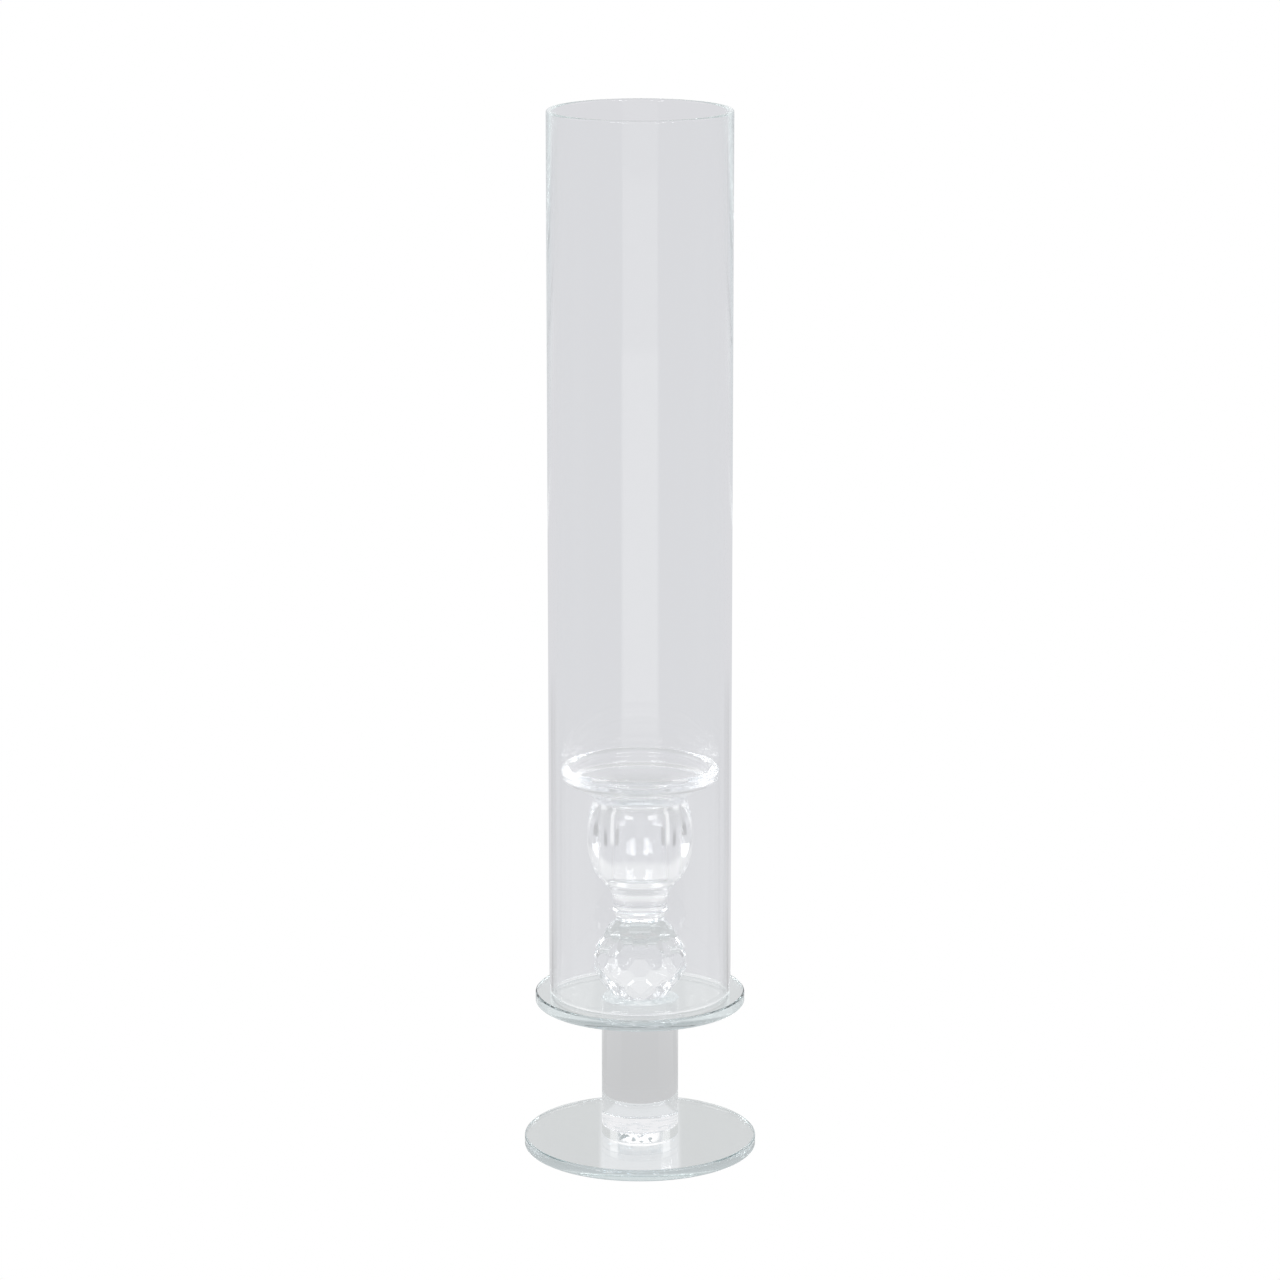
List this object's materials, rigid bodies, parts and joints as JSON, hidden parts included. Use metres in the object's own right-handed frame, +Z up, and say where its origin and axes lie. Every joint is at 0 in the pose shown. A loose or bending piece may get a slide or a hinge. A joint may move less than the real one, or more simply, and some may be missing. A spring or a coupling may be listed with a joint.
{
  "type": "hurricane candle lantern",
  "caption": "Clear crystal candle holder on a glass foot, with an open glass chimney that lifts off over the candle.",
  "frame": {"origin": "bottom centre of the foot disc, on the surface that the lantern stands on", "axes": "+Z up along the stem and the chimney; +Y points away from the front facet of the ball"},
  "size_m": [0.1, 0.1, 0.45],
  "materials": {
    "disc_glass": "polished",
    "crystal": "polished",
    "tube_glass": "fire-polished"
  },
  "bodies": {
    "holder": {"foot_disc": "disc_glass", "stem_collar": "crystal", "stem_rod": "crystal", "chimney_plate": "disc_glass", "crystal_ball": "crystal", "neck_ring": "crystal", "candle_cup": "crystal", "drip_pan": "crystal"},
    "chimney_tube": {"chimney": "tube_glass"}
  },
  "joints": [
    {"name": "chimney_lift", "type": "slide", "parent": "holder", "child": "chimney_tube", "axis": [0, 0, 1], "range_m": [0, 0.12]}
  ]
}
